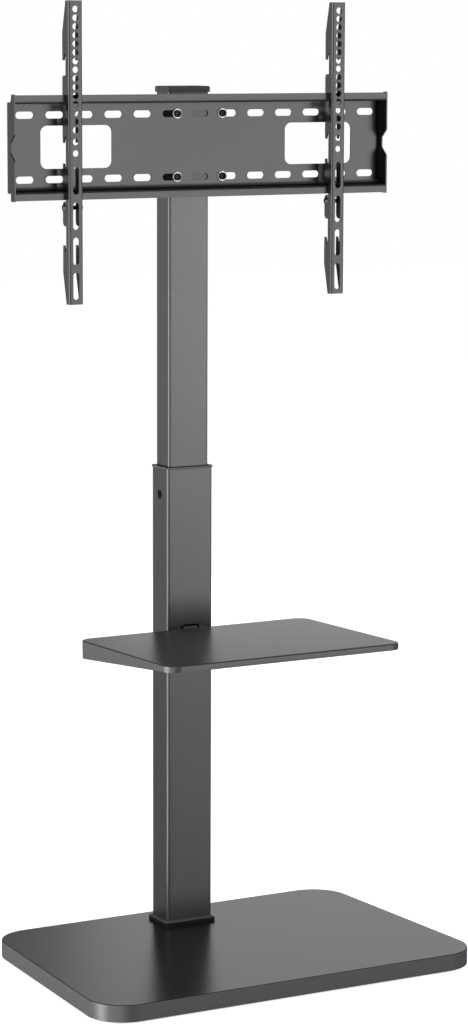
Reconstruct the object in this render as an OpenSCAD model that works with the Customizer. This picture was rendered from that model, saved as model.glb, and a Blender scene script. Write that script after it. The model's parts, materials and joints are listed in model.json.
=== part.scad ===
// Floor stand for a television: a weighted board, a two-part telescoping column,
// a hooked-on shelf and a head plate that carries two sliding, hooked display arms.
// Millimetres. The origin is the middle of the footprint, on the floor. The front is -Y.

/* [Base board] */
// Width of the board along its front edge
base_front_w = 621; // [520:1:760]
// Width of the board along its back edge
base_back_w = 576; // [480:1:720]
// Depth of the board, front to back
base_d = 414; // [380:1:520]
// Thickness of the board
base_t = 25; // [20:0.5:36]
// Radius of the board's corners
base_r = 55; // [20:1:90]
// Height of the rubber pads under the board
pad_h = 2; // [1.5:0.5:5]
// Diameter of a rubber pad
pad_dia = 36; // [20:1:44]
// Distance from the board's edges to the pads' centres
pad_inset = 62; // [40:1:80]

/* [Lower column] */
// Width of the lower tube, side to side
low_w = 75; // [70:0.5:90]
// Depth of the lower tube, front to back
low_d = 50; // [46:0.5:66]
// Length of the lower tube
low_h = 688.5; // [620:0.5:800]
// Outer corner radius of the lower tube
low_r = 4; // [3:0.5:6]
// Wall of both tubes
tube_wall = 2; // [1.5:0.1:2.5]
// Distance from the board's back edge to the column's axis
col_back = 60.9; // [45:0.1:90]
// Thickness of the tapped plate welded in the column's foot
foot_t = 8; // [6:0.5:12]
// Height of the trim collar round the column's foot
skirt_h = 7.8; // [5:0.1:14]
// Reach of the trim collar beyond the tube at the board
skirt_reach = 5.2; // [3:0.1:9]

/* [Upper column] */
// Gap between the tubes at the sides
side_gap = 2.6; // [2:0.1:3.4]
// Gap between the tubes at the front and the back
front_gap = 3; // [2.8:0.1:4]
// Height of the upper tube's top above the guide collar's flange
up_rise = 546.4; // [480:0.1:600]
// Outer corner radius of the upper tube
up_r = 3.5; // [3:0.1:5]
// Thickness of the guide collar's flange
guide_flange_t = 3.3; // [2:0.1:5]
// Reach of the guide collar's flange beyond the lower tube
guide_lip = 1.4; // [1:0.1:3]
// Depth of the guide collar's sleeve in the lower tube
guide_sleeve_l = 90; // [70:1:120]
// Length of the glide on the upper tube's lower end
glide_l = 40; // [30:1:60]
// Thickness of the glide's sole under the upper tube
glide_sole_t = 3; // [2:0.5:5]
// Thickness of the end cap's rim
cap_rim_t = 7.7; // [4:0.1:10]
// Height of the end cap's crown above its rim
cap_crown_h = 1; // [1:0.1:5]
// Reach of the end cap beyond the upper tube
cap_reach = 2.3; // [1:0.1:4]
// Length of the end cap's plug in the upper tube
cap_plug_l = 16; // [10:1:30]

/* [Height lock] */
// Depth of the lock screw's axis below the lower tube's top
lock_drop = 38.5; // [25:0.5:50]
// Diameter of the hole in the lower tube for the threaded insert
lock_hole_dia = 14; // [12:0.1:15]
// Diameter of the lock screw
lock_dia = 8; // [6:0.5:9]
// Depth of the lock screw's face below the tube's side
lock_recess = 1.6; // [1:0.1:2]

/* [Shelf] */
// Width of the shelf
shelf_w = 381; // [300:1:460]
// Depth of the shelf, front to back
shelf_d = 285; // [250:1:330]
// Corner radius of the shelf
shelf_r = 22; // [12:0.5:30]
// Thickness of the shelf's sheet
shelf_t = 1.5; // [1:0.1:2]
// Outer radius of the bend round the shelf's top
shelf_bend_r = 2; // [2:0.1:4]
// Height of the shelf's turned-down front edge
shelf_front_h = 9.5; // [7:0.1:12]
// Height of the shelf's sides at the back
shelf_side_h = 26; // [20:0.5:36]
// Height of the shelf's back edge above the board
shelf_up = 451.6; // [300:0.1:540]
// Rise of the shelf towards its front edge, in degrees
shelf_tilt = 1.65; // [0:0.05:3]
// Gap between the shelf's back edge and the column
shelf_gap = 7.6; // [6:0.1:10]

/* [Shelf bracket] */
// Width of the bracket under the shelf
brk_w = 60; // [50:1:70]
// Thickness of the bracket's sheet
brk_t = 3; // [2:0.1:3.5]
// Reach of the bracket under the shelf
brk_reach = 176; // [140:1:210]
// Width of the hook that enters the column
hook_w = 23; // [16:0.5:26]
// Width of the column's slot for the hook
hook_slot_w = 32; // [30:0.5:40]
// Height of the column's slot for the hook
hook_slot_h = 12; // [10:0.5:14]

/* [Head plate] */
// Width of the head plate over its ends
plate_w = 610; // [560:1:760]
// Height of the head plate over its lips
plate_h = 147; // [140:0.5:160]
// Thickness of the head plate's sheet
plate_t = 2; // [1.5:0.1:2.3]
// Depth of the head plate's tray, from its lips to its back
tray_d = 23; // [21:0.1:30]
// Height of a lip above the tray's edge
lip_h = 9.9; // [8:0.1:13]
// Drop from the upper tube's top to the head plate's middle
plate_drop = 75.1; // [70:0.1:120]
// Distance from the head plate's end to the middle of the last slot
slot_end = 26; // [22:0.5:34]
// Length of a slot
slot_l = 28; // [24:0.5:30]
// Height of a slot
slot_h = 10; // [9:0.1:11]
// Distance between the two rows of slots
slot_rows = 90.5; // [88:0.5:96]
// Nearest edge of a window, as a share of half the head plate's width
window_in_share = 0.4656; // [0.4:0.01:0.52]
// Farthest edge of a window, as a share of half the head plate's width
window_out_share = 0.8344; // [0.76:0.01:0.87]
// Height of a window
window_h = 60.5; // [44:0.5:66]
// Corner radius of a window
window_r = 10; // [4:0.5:16]
// Depth of the notch in each end of the head plate
notch_d = 13; // [8:0.5:16]
// Height of the notch at its mouth
notch_mouth = 38; // [30:0.5:50]
// Height of the notch at its bottom
notch_floor = 14.4; // [8:0.5:24]
// Reach of the stop tabs at the ends of the lips
stop_reach = 12.4; // [10:0.1:15]
// Height of the stop tabs above the lips
stop_proud = 1; // [0:0.1:3]

/* [Head bracket] */
// Height of the head bracket
head_h = 118; // [104:0.5:122]
// Depth of the head bracket
head_d = 30.6; // [26:0.1:40]
// Thickness of the head bracket's sheet
head_t = 2; // [1.5:0.1:2.2]
// Width of the opening between the bracket's turned-in edges
head_gap = 38; // [20:1:50]
// Diameter of the plate bolts
bolt_dia = 6; // [6:0.5:8]
// Diameter of the plate washers
washer_dia = 14.5; // [13:0.5:18]
// Thickness of the plate washers
washer_t = 1.6; // [1:0.1:2]
// Height of the plate bolts' heads
bolt_head_h = 3.3; // [3:0.1:5]

/* [Arms] */
// Length of an arm
arm_l = 425; // [380:1:500]
// Width of an arm over its flanges
arm_w = 22; // [20:0.5:28]
// Thickness of an arm's sheet
arm_t = 2; // [1.5:0.1:2.2]
// Full depth of an arm's flanges
arm_full = 20; // [18.5:0.1:21]
// Depth of an arm's flanges where they pass the lips
arm_narrow = 10; // [8:0.1:10.5]
// Depth of an arm's flanges at its ends
arm_tip = 9.5; // [6:0.1:12]
// Length of the taper at each end of an arm, as a share of the way to its first hook
arm_taper_share = 0.612; // [0.4:0.01:0.8]
// Drop of an arm's middle below the head plate's middle
arm_shift = 8; // [4:0.5:9]
// Pitch of the hook seats, as a share of the head plate's height
seat_pitch_share = 0.3912; // [0.36:0.01:0.4]
// Corner radius of the steps in the flanges
step_r = 4; // [2:0.5:6]
// Place of each arm, as a share of half the head plate's width
arm_x_share = 0.703; // [0.5:0.01:0.9]
// Diameter of the screw holes in an arm
hole_dia = 9.2; // [8:0.1:9.6]
// Pitch of the screw holes in an arm
hole_pitch = 12; // [10:0.1:14]
// Web between two long slots of an arm
long_slot_gap = 10.9; // [6:0.1:20]

/* [Safety screws] */
// Gap between the head plate's lower edge and the screw's lug
lug_gap = 2; // [1:0.1:4]
// Height of the lug
lug_h = 35; // [30:0.5:40]
// Drop of the screw's axis below the lug's top
screw_drop = 9; // [8.5:0.1:12]
// Diameter of the safety screw
screw_dia = 6; // [5:0.1:6.5]
// Diameter of the safety screw's head
screw_head_dia = 11.4; // [10:0.1:12]
// Height of the safety screw's head
screw_head_h = 3.2; // [2.5:0.1:4]

/* [Hidden] */
$fn = 48;

// Overrun of every cut, and the clearances
over = 1;
seat_fit = 0.1;
slide_fit = 0.25;
turn_fit = 0.06;

// Board, pads and the bolts that hold the column
base_top = pad_h + base_t;
base_bolt_dia = 8;
base_bolt_x = 22;
base_bolt_y = 11;
base_bore_dia = 9;
base_sink_dia = 20;
base_sink_h = 11;
base_washer_dia = 16;
base_washer_t = 1.6;
base_head_dia = 13;
base_head_h = 8;
base_key = 6;

// Column
col_y = base_d / 2 - col_back;
low_top = base_top + low_h;
in_w = low_w - 2 * tube_wall;
in_d = low_d - 2 * tube_wall;
in_r = low_r - tube_wall;
up_w = in_w - 2 * side_gap;
up_d = in_d - 2 * front_gap;
up_in_r = up_r - tube_wall;
guide_top = low_top + guide_flange_t;
up_top = guide_top + up_rise;
guide_floor = low_top - guide_sleeve_l;
glide_top = guide_floor - slide_fit;
up_floor = glide_top - glide_l;
glide_wall = 2;
glide_step_h = 12;
low_front = col_y - low_d / 2;
up_front = col_y - up_d / 2;
skirt_slope_h = 2.2;
skirt_rim = 0.9;
lock_z = low_top - lock_drop;
lock_key = 4;
lock_key_h = 2;

// Shelf and its bracket
shelf_z = base_top + shelf_up;
shelf_y = low_front - shelf_gap;
boss_h = 5;
boss_dia = 10;
shelf_screw_dia = 5;
shelf_head_dia = 9.5;
shelf_head_h = 3.4;
boss_side = 12;
boss_end = 16;
boss_x = brk_w / 2 - boss_side;
boss_near = 30;
boss_far = brk_reach - boss_end;
brk_cut_gap = 4;
brk_cut_w = brk_w + 2 * brk_cut_gap;
shelf_head_share = 0.8;
brk_back_h = 43;
brk_tip_h = 9;
slot_drop = 1.3;
slot_z = shelf_z - slot_drop;
hook_t = front_gap - 2 * slide_fit;
hook_up = 2.7;
hook_down = 3;
hook_rest = 0.3;
shelf_bolt_drop = 32;

// Head plate
plate_z = up_top - plate_drop;
plate_back = col_y - up_d / 2 - head_d;
lip_front = plate_back - tray_d;
edge_z = plate_h / 2 - lip_h - plate_t / 2;
fold_r = 1.8;
end_r = 2;
slot_count = 13;
slot_pitch = (plate_w - 2 * slot_end) / (slot_count - 1);
window_in = window_in_share * plate_w / 2;
window_out = window_out_share * plate_w / 2;
stop_lean = 3.4;
head_inner_r = 0.5;
head_r = head_inner_r + head_t / 2;
bolt_inset = 0.6;
bolt_x = slot_pitch - (slot_l - slot_h) / 2 - bolt_inset;
bolt_head_share = 1.75;
bolt_head_dia = bolt_head_share * bolt_dia;
bolt_key = 4;
bolt_key_h = 2;
nut_flats_share = 1.65;
nut_flats = nut_flats_share * bolt_dia;
nut_h = 5;
nut_gap = 0.6;
bolt_end = 1.5;
head_w = 2 * (bolt_x + nut_flats / 2 + nut_gap + head_t);

// Arms
arm_front = lip_front - arm_narrow - seat_fit;
arm_top = plate_z - arm_shift + arm_l / 2;
arm_x = arm_x_share * plate_w / 2;
arm_fold_r = 1.5;
seat_pitch = seat_pitch_share * plate_h;
seat_first = arm_l / 2 - arm_shift - plate_h / 2 - seat_pitch;
seats = [for (i = [0:2]) seat_first + i * seat_pitch];
step_clear = 2.6;
step_gap = 2 * arm_shift + lip_h + plate_t + step_clear;
arm_taper = arm_taper_share * seat_first;
hook_clear = 0.3;
hook_l = lip_h - hook_clear;
slit_clear = 0.8;
slit_flare = 2.8;
slit_seat = arm_narrow + plate_t + slit_clear;
slit_mouth = slit_seat + slit_flare;
tine_trim = 0.5;
arc_steps = 6;
lug_top = seats[1] + plate_h + lug_gap;
lug_top_r = 5;
lug_low_r = 6.5;
first_hole = 12;
extra_hole_gap = 16;
hole_count = floor((arm_l / 2 - extra_hole_gap - first_hole) / hole_pitch);
last_slot = 26;
long_slot_count = 4;
long_pitch_share = 0.26488;
long_slot_pitch = long_pitch_share * (arm_l / 2 - last_slot);
long_slot_l = long_slot_pitch - long_slot_gap;
screw_s = lug_top + screw_drop;
screw_back = 4.5;
screw_d = arm_full - screw_back;
screw_nut_flats = 10;
screw_nut_h = 5;
screw_end = 1;
screw_key_w = 1.2;
screw_key_l = 7.5;
screw_key_h = 1.4;

// Plane outlines

function unit(v) = v / norm(v);

// A convex outline with round corners of one radius
module round_outline(pts, r) {
    n = len(pts);
    ways = [for (i = [0:n - 1]) [unit(pts[(i + n - 1) % n] - pts[i]), unit(pts[(i + 1) % n] - pts[i])]];
    halves = [for (w = ways) acos(w[0] * w[1]) / 2];
    polygon([for (i = [0:n - 1]) for (k = [0, 1]) pts[i] + ways[i][k] * r / tan(halves[i])]);
    for (i = [0:n - 1])
        translate(pts[i] + unit(ways[i][0] + ways[i][1]) * r / sin(halves[i]))
            circle(r);
}

// A rectangle with round corners, centred
module round_rect(w, d, r) {
    round_outline([[-w / 2, -d / 2], [w / 2, -d / 2], [w / 2, d / 2], [-w / 2, d / 2]], r);
}

// A slot with round ends along its first axis, centred
module slot_outline(l, h) {
    square([l - h, h], center = true);
    for (side = [-1, 1])
        translate([side * (l - h) / 2, 0])
            circle(h / 2);
}

// A sheet's section: a strip of thickness t along a path, folded square at radius r
module folded(path, t, r) {
    n = len(path);
    for (i = [0:n - 2]) {
        way = unit(path[i + 1] - path[i]);
        from = path[i] + (i > 0 ? r : 0) * way;
        to = path[i + 1] - (i < n - 2 ? r : 0) * way;
        translate((from + to) / 2)
            rotate(atan2(way[1], way[0]))
                square([norm(to - from), t], center = true);
    }
    for (i = [1:n - 2]) {
        into = unit(path[i] - path[i - 1]);
        out = unit(path[i + 1] - path[i]);
        reach = r + t;
        translate(path[i] + r * (out - into))
            intersection() {
                difference() {
                    circle(r + t / 2);
                    circle(r - t / 2);
                }
                polygon([[0, 0], -reach * out, reach * (into - out), reach * into]);
            }
    }
}

// Solids

// Sweeps a section, drawn from x = 0 out to x = r, round the edge of a round rectangle
module round_rim(w, d, r) {
    for (x = [-1, 1], y = [-1, 1])
        translate([x * (w / 2 - r), y * (d / 2 - r), 0])
            rotate(atan2(y, x) - 45)
                rotate_extrude(angle = 90)
                    children();
    for (side = [0, 180]) {
        rotate(side)
            translate([w / 2 - r, d / 2 - r, 0])
                rotate([90, 0, 0])
                    linear_extrude(d - 2 * r)
                        children();
        rotate(side + 90)
            translate([d / 2 - r, w / 2 - r, 0])
                rotate([90, 0, 0])
                    linear_extrude(w - 2 * r)
                        children();
    }
}

// Stands an outline of (y, z) points up and runs it along X, centred
module along_x(l) {
    rotate([90, 0, 90])
        linear_extrude(l, center = true)
            children();
}

// A bar along Y from y = 0 towards +Y
module bar_y(dia, l) {
    rotate([-90, 0, 0])
        cylinder(d = dia, h = l);
}

// A bar along X from x = 0 towards +X
module bar_x(dia, l) {
    rotate([0, 90, 0])
        cylinder(d = dia, h = l);
}

// A hexagon of the given width over its flats, lying along Z
module hex(flats, h) {
    rotate(30)
        cylinder(d = flats / cos(30), h = h, $fn = 6);
}

module tube(w, d, r, r_in, h) {
    difference() {
        linear_extrude(h)
            round_rect(w, d, r);
        translate([0, 0, -over])
            linear_extrude(h + 2 * over)
                round_rect(w - 2 * tube_wall, d - 2 * tube_wall, r_in);
    }
}

module at_column(z) {
    translate([0, col_y, z])
        children();
}

// Base

module at_base_bolts() {
    for (x = [-base_bolt_x, base_bolt_x], y = [-base_bolt_y, base_bolt_y])
        translate([x, col_y + y, 0])
            children();
}

module base_board() {
    color([0.25, 0.25, 0.25])
        difference() {
            translate([0, 0, pad_h])
                linear_extrude(base_t)
                    round_outline([
                        [-base_front_w / 2, -base_d / 2], [base_front_w / 2, -base_d / 2],
                        [base_back_w / 2, base_d / 2], [-base_back_w / 2, base_d / 2]
                    ], base_r);
            at_base_bolts() {
                cylinder(d = base_bore_dia, h = base_top + over);
                cylinder(d = base_sink_dia, h = pad_h + base_sink_h);
            }
        }
}

module base_pads() {
    color([0.08, 0.08, 0.08])
        for (x = [-1, 0, 1], y = [-1, 1]) {
            edge = y < 0 ? base_front_w / 2 : base_back_w / 2;
            if (x != 0 || y < 0)
                translate([x * (edge - pad_inset), y * (base_d / 2 - pad_inset), 0])
                    cylinder(d = pad_dia, h = pad_h);
        }
}

module base_washers() {
    color([0.6, 0.6, 0.6])
        at_base_bolts()
            translate([0, 0, pad_h + base_sink_h - base_washer_t])
                difference() {
                    cylinder(d = base_washer_dia, h = base_washer_t);
                    translate([0, 0, -over])
                        cylinder(d = base_bolt_dia + 2 * seat_fit, h = base_washer_t + 2 * over);
                }
}

module base_bolts() {
    seat = pad_h + base_sink_h - base_washer_t;
    color([0.55, 0.55, 0.55])
        at_base_bolts()
            difference() {
                union() {
                    translate([0, 0, seat - base_head_h])
                        cylinder(d = base_head_dia, h = base_head_h);
                    translate([0, 0, seat - base_head_h / 2])
                        cylinder(d = base_bolt_dia, h = base_top + foot_t - seat + base_head_h / 2);
                }
                translate([0, 0, seat - base_head_h - over])
                    hex(base_key, base_head_h / 2 + over);
            }
}

module column_foot() {
    color([0.35, 0.35, 0.35])
        difference() {
            at_column(base_top)
                linear_extrude(foot_t)
                    round_rect(in_w - 2 * seat_fit, in_d - 2 * seat_fit, in_r - seat_fit);
            at_base_bolts()
                cylinder(d = base_bolt_dia + 2 * turn_fit, h = base_top + foot_t + over);
        }
}

module foot_collar() {
    fit = 2 * seat_fit;
    color([0.12, 0.12, 0.12])
        at_column(base_top)
            difference() {
                hull() {
                    linear_extrude(skirt_h - skirt_slope_h)
                        round_rect(low_w + 2 * skirt_reach, low_d + 2 * skirt_reach, low_r + skirt_reach / 2);
                    linear_extrude(skirt_h)
                        round_rect(low_w + 2 * skirt_rim, low_d + 2 * skirt_rim, low_r + skirt_rim);
                }
                translate([0, 0, -over])
                    linear_extrude(skirt_h + 2 * over)
                        round_rect(low_w + fit, low_d + fit, low_r + seat_fit);
            }
}

// Column

module lower_column() {
    color([0.28, 0.28, 0.28])
        difference() {
            at_column(base_top)
                tube(low_w, low_d, low_r, in_r, low_h);
            translate([0, low_front - over, slot_z])
                rotate([-90, 0, 0])
                    linear_extrude(tube_wall + 2 * over)
                        slot_outline(hook_slot_w, hook_slot_h);
            translate([0, low_front - over, slot_z - shelf_bolt_drop])
                bar_y(shelf_screw_dia + 2 * seat_fit, tube_wall + 2 * over);
            translate([-low_w / 2 - over, col_y, lock_z])
                bar_x(lock_hole_dia, tube_wall + 2 * over);
        }
}

module guide_collar() {
    rim_w = low_w + 2 * guide_lip;
    rim_d = low_d + 2 * guide_lip;
    color([0.16, 0.16, 0.16])
        difference() {
            union() {
                at_column(low_top)
                    linear_extrude(guide_flange_t)
                        round_rect(rim_w, rim_d, low_r + guide_lip);
                at_column(guide_floor)
                    linear_extrude(guide_sleeve_l + guide_flange_t / 2)
                        round_rect(in_w - 2 * seat_fit, in_d - 2 * seat_fit, in_r - seat_fit);
            }
            at_column(guide_floor - over)
                linear_extrude(guide_sleeve_l + guide_flange_t + 2 * over)
                    round_rect(up_w + 2 * slide_fit, up_d + 2 * slide_fit, up_r + slide_fit);
            translate([-low_w / 2, col_y, lock_z])
                bar_x(lock_hole_dia + 2 * seat_fit, low_w / 2);
        }
}

module lock_insert() {
    color([0.2, 0.2, 0.2])
        translate([-low_w / 2 + lock_recess / 2, col_y, lock_z])
            difference() {
                bar_x(lock_hole_dia - 2 * seat_fit, tube_wall + side_gap - lock_recess / 2 - slide_fit);
                translate([-over, 0, 0])
                    bar_x(lock_dia + 2 * turn_fit, tube_wall + side_gap + 2 * over);
            }
}

module lock_screw() {
    color([0.3, 0.3, 0.3])
        translate([-low_w / 2 + lock_recess, col_y, lock_z])
            difference() {
                bar_x(lock_dia, tube_wall + side_gap - lock_recess - slide_fit);
                translate([-over, 0, 0])
                    rotate([0, 90, 0])
                        hex(lock_key, lock_key_h + over);
            }
}

module inner_glide() {
    color([0.16, 0.16, 0.16])
        difference() {
            at_column(up_floor - glide_sole_t)
                linear_extrude(glide_l + glide_sole_t)
                    round_rect(in_w - 2 * slide_fit, in_d - 2 * slide_fit, in_r);
            at_column(up_floor)
                linear_extrude(glide_l + over)
                    difference() {
                        round_rect(up_w + 2 * seat_fit, up_d + 2 * seat_fit, up_r + seat_fit);
                        round_rect(up_w - 2 * tube_wall - 2 * seat_fit, up_d - 2 * tube_wall - 2 * seat_fit,
                            up_in_r);
                    }
            at_column(up_floor + glide_step_h)
                linear_extrude(glide_l + over)
                    round_rect(up_w - tube_wall, up_d - tube_wall, up_in_r);
            at_column(up_floor - glide_sole_t - over)
                linear_extrude(glide_l + over)
                    round_rect(up_w - 2 * (tube_wall + glide_wall), up_d - 2 * (tube_wall + glide_wall), up_in_r);
            translate([-hook_slot_w / 2, low_front, up_floor - glide_sole_t - over])
                cube([hook_slot_w, up_front - low_front, glide_l + glide_sole_t + 2 * over]);
        }
}

module upper_column() {
    color([0.4, 0.4, 0.4])
        at_column(up_floor)
            tube(up_w, up_d, up_r, up_in_r, up_top - up_floor);
}

module top_cap() {
    plug_w = up_w - 2 * tube_wall - 2 * seat_fit;
    plug_d = up_d - 2 * tube_wall - 2 * seat_fit;
    rim_w = up_w + 2 * cap_reach;
    rim_d = up_d + 2 * cap_reach;
    color([0.13, 0.13, 0.13])
        difference() {
            union() {
                at_column(up_top)
                    hull() {
                        linear_extrude(cap_rim_t)
                            round_rect(rim_w, rim_d, up_r + cap_reach / 2);
                        linear_extrude(cap_rim_t + cap_crown_h / 2)
                            round_rect(rim_w - cap_reach, rim_d - cap_reach, up_r);
                        linear_extrude(cap_rim_t + cap_crown_h)
                            round_rect(rim_w - 3 * cap_reach, rim_d - 3 * cap_reach, up_r);
                    }
                at_column(up_top - cap_plug_l)
                    linear_extrude(cap_plug_l + cap_rim_t / 2)
                        round_rect(plug_w, plug_d, up_in_r - seat_fit);
            }
            at_column(up_top - cap_plug_l - over)
                linear_extrude(cap_plug_l + over)
                    round_rect(plug_w - 2 * glide_wall, plug_d - 2 * glide_wall, up_in_r - seat_fit);
        }
}

// Shelf

// Puts a solid made flat, with the shelf's back edge along X, at the shelf's place
module at_shelf() {
    translate([0, shelf_y, shelf_z])
        rotate([-shelf_tilt, 0, 0])
            children();
}

// A place (y, z) on the flat shelf, as it lies on the tilted one
function on_shelf(p) = [
    shelf_y + p[0] * cos(shelf_tilt) + p[1] * sin(shelf_tilt),
    shelf_z - p[0] * sin(shelf_tilt) + p[1] * cos(shelf_tilt)
];

module at_bosses() {
    for (x = [-boss_x, boss_x], y = [-boss_near, -boss_far])
        translate([x, y, 0])
            children();
}

module shelf() {
    color([0.3, 0.3, 0.3])
        at_shelf()
            difference() {
                union() {
                    intersection() {
                        translate([0, -shelf_d / 2, 0]) {
                            translate([0, 0, -shelf_t])
                                linear_extrude(shelf_t)
                                    square([shelf_w - 2 * shelf_r, shelf_d - 2 * shelf_r], center = true);
                            round_rim(shelf_w, shelf_d, shelf_r)
                                folded([
                                    [0, -shelf_t / 2], [shelf_r - shelf_t / 2, -shelf_t / 2],
                                    [shelf_r - shelf_t / 2, -shelf_side_h]
                                ], shelf_t, shelf_bend_r - shelf_t / 2);
                        }
                        along_x(shelf_w + 2 * over)
                            polygon([
                                [over, over], [-shelf_d - over, over], [-shelf_d - over, -shelf_front_h],
                                [-shelf_d + shelf_r, -shelf_front_h], [-shelf_r, -shelf_side_h],
                                [over, -shelf_side_h]
                            ]);
                    }
                    at_bosses()
                        translate([0, 0, -shelf_t - boss_h])
                            cylinder(d = boss_dia, h = boss_h + shelf_t / 2);
                }
                at_bosses()
                    translate([0, 0, -shelf_t - boss_h - over])
                        cylinder(d = shelf_screw_dia + 2 * turn_fit, h = boss_h + over);
                translate([-brk_cut_w / 2, -shelf_t - over, -shelf_side_h - over])
                    cube([brk_cut_w, shelf_t + 2 * over, shelf_side_h - shelf_t + over]);
            }
}

module shelf_bracket() {
    deck = -shelf_t - boss_h;
    wall_y = low_front - brk_t;
    wall_top = shelf_z - shelf_t;
    wall_low = wall_top - brk_back_h;
    deck_back = on_shelf([shelf_gap, deck - brk_t]);
    cheek = [
        on_shelf([-brk_reach, deck - brk_t / 2]), [low_front - brk_t / 2, deck_back[1]],
        [low_front - brk_t / 2, wall_low], [wall_y - brk_t, wall_low], on_shelf([-brk_reach, deck - brk_tip_h])
    ];
    color([0.22, 0.22, 0.22])
        difference() {
            union() {
                translate([-brk_w / 2, wall_y, wall_low])
                    cube([brk_w, brk_t, brk_back_h]);
                at_shelf()
                    translate([-brk_w / 2, -brk_reach, deck - brk_t])
                        cube([brk_w, brk_reach + shelf_gap - brk_t, brk_t]);
                for (side = [-1, 1])
                    translate([side * (brk_w - brk_t) / 2, 0, 0])
                        along_x(brk_t)
                            polygon(cheek);
                translate([-hook_w / 2, wall_y, slot_z - hook_slot_h / 2 + hook_rest])
                    cube([hook_w, brk_t + tube_wall + slide_fit + hook_t, hook_slot_h / 2 - hook_rest + hook_up]);
                translate([-hook_w / 2, low_front + tube_wall + slide_fit, slot_z - hook_slot_h / 2 - hook_down])
                    cube([hook_w, hook_t, hook_slot_h / 2 + hook_down + hook_up]);
            }
            at_shelf()
                at_bosses()
                    translate([0, 0, deck - brk_t - over])
                        cylinder(d = shelf_screw_dia + 2 * seat_fit, h = brk_t + 2 * over);
            translate([0, wall_y - over, slot_z - shelf_bolt_drop])
                bar_y(shelf_screw_dia + 2 * seat_fit, brk_t + 2 * over);
        }
}

// A pan-headed screw pointing up from z = 0, its head below
module pan_screw(dia, l) {
    cylinder(d = dia, h = l);
    difference() {
        translate([0, 0, -shelf_head_h])
            cylinder(d1 = shelf_head_dia * shelf_head_share, d2 = shelf_head_dia, h = shelf_head_h);
        translate([0, 0, -shelf_head_h - over])
            hex(dia / 2, shelf_head_h / 2 + over);
    }
}

module shelf_screws() {
    color([0.5, 0.5, 0.5])
        at_shelf()
            at_bosses()
                translate([0, 0, -shelf_t - boss_h - brk_t])
                    pan_screw(shelf_screw_dia, boss_h + brk_t - seat_fit);
}

module shelf_bolt() {
    color([0.5, 0.5, 0.5])
        translate([0, low_front - brk_t, slot_z - shelf_bolt_drop])
            rotate([-90, 0, 0])
                pan_screw(shelf_screw_dia, brk_t + tube_wall);
}

// Head

module head_bracket() {
    side_x = (head_w - head_t) / 2;
    back = up_front - head_t / 2;
    front = plate_back + head_t / 2;
    color([0.2, 0.2, 0.2])
        difference() {
            translate([0, 0, plate_z - head_h / 2])
                linear_extrude(head_h)
                    folded([
                        [-head_gap / 2, back], [-side_x, back], [-side_x, front],
                        [side_x, front], [side_x, back], [head_gap / 2, back]
                    ], head_t, head_r);
            at_plate_bolts(plate_back - over)
                bar_y(bolt_dia + 2 * seat_fit, head_t + 2 * over);
        }
}

module at_plate_bolts(y) {
    for (x = [-bolt_x, bolt_x], z = [-slot_rows / 2, slot_rows / 2])
        translate([x, y, plate_z + z])
            children();
}

module mount_plate() {
    inner_w = plate_w - 2 * plate_t;
    stop_z = plate_h / 2 + stop_proud;
    edge_y = lip_front + plate_t / 2;
    web_y = plate_back - plate_t / 2;
    side_h = 2 * edge_z + plate_t;
    color([0.37, 0.37, 0.37])
        translate([0, 0, plate_z])
            difference() {
                union() {
                    along_x(inner_w)
                        folded([
                            [edge_y, plate_h / 2], [edge_y, edge_z], [web_y, edge_z],
                            [web_y, -edge_z], [edge_y, -edge_z], [edge_y, -plate_h / 2]
                        ], plate_t, fold_r);
                    for (side = [-1, 1])
                        translate([side * (plate_w - plate_t) / 2, 0, 0])
                            along_x(plate_t) {
                                translate([lip_front + tray_d / 2, 0])
                                    round_rect(tray_d, side_h, end_r);
                                polygon([
                                    [lip_front, stop_z], [lip_front, -stop_z], [lip_front + stop_reach, -stop_z],
                                    [lip_front + stop_reach, edge_z], [lip_front + stop_reach - stop_lean, stop_z]
                                ]);
                            }
                }
                for (row = [-1, 1], k = [0:slot_count - 1])
                    translate([(k - (slot_count - 1) / 2) * slot_pitch, plate_back + over, row * slot_rows / 2])
                        rotate([90, 0, 0])
                            linear_extrude(plate_t + 2 * over)
                                slot_outline(slot_l, slot_h);
                for (side = [-1, 1])
                    translate([side * (window_in + window_out) / 2, plate_back + over, 0])
                        rotate([90, 0, 0])
                            linear_extrude(plate_t + 2 * over)
                                round_rect(window_out - window_in, window_h, window_r);
                along_x(plate_w + 2 * over)
                    polygon([
                        [lip_front, -notch_mouth / 2], [lip_front + notch_d, -notch_floor / 2],
                        [lip_front + notch_d, notch_floor / 2], [lip_front, notch_mouth / 2]
                    ]);
            }
}

module plate_washers() {
    color([0.75, 0.75, 0.75])
        at_plate_bolts(plate_back - plate_t - washer_t)
            difference() {
                bar_y(washer_dia, washer_t);
                translate([0, -over, 0])
                    bar_y(bolt_dia + 2 * seat_fit, washer_t + 2 * over);
            }
}

module plate_bolts() {
    shank_l = washer_t + plate_t + head_t + nut_h + bolt_end;
    color([0.08, 0.08, 0.08])
        at_plate_bolts(plate_back - plate_t - washer_t)
            difference() {
                union() {
                    bar_y(bolt_dia, shank_l);
                    translate([0, -bolt_head_h, 0])
                        bar_y(bolt_head_dia, bolt_head_h);
                }
                translate([0, -bolt_head_h - over, 0])
                    rotate([-90, 0, 0])
                        hex(bolt_key, bolt_key_h + over);
            }
}

module plate_nuts() {
    color([0.5, 0.5, 0.5])
        at_plate_bolts(plate_back + head_t)
            difference() {
                rotate([-90, 0, 0])
                    hex(nut_flats, nut_h);
                translate([0, -over, 0])
                    bar_y(bolt_dia + 2 * turn_fit, nut_h + 2 * over);
            }
}

// Arms: outlines of a flange in (depth, distance from the arm's top)

function quarter(c, r, a) = [for (k = [0:arc_steps]) let (t = a + 90 * k / arc_steps) c + r * [cos(t), sin(t)]];

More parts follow.
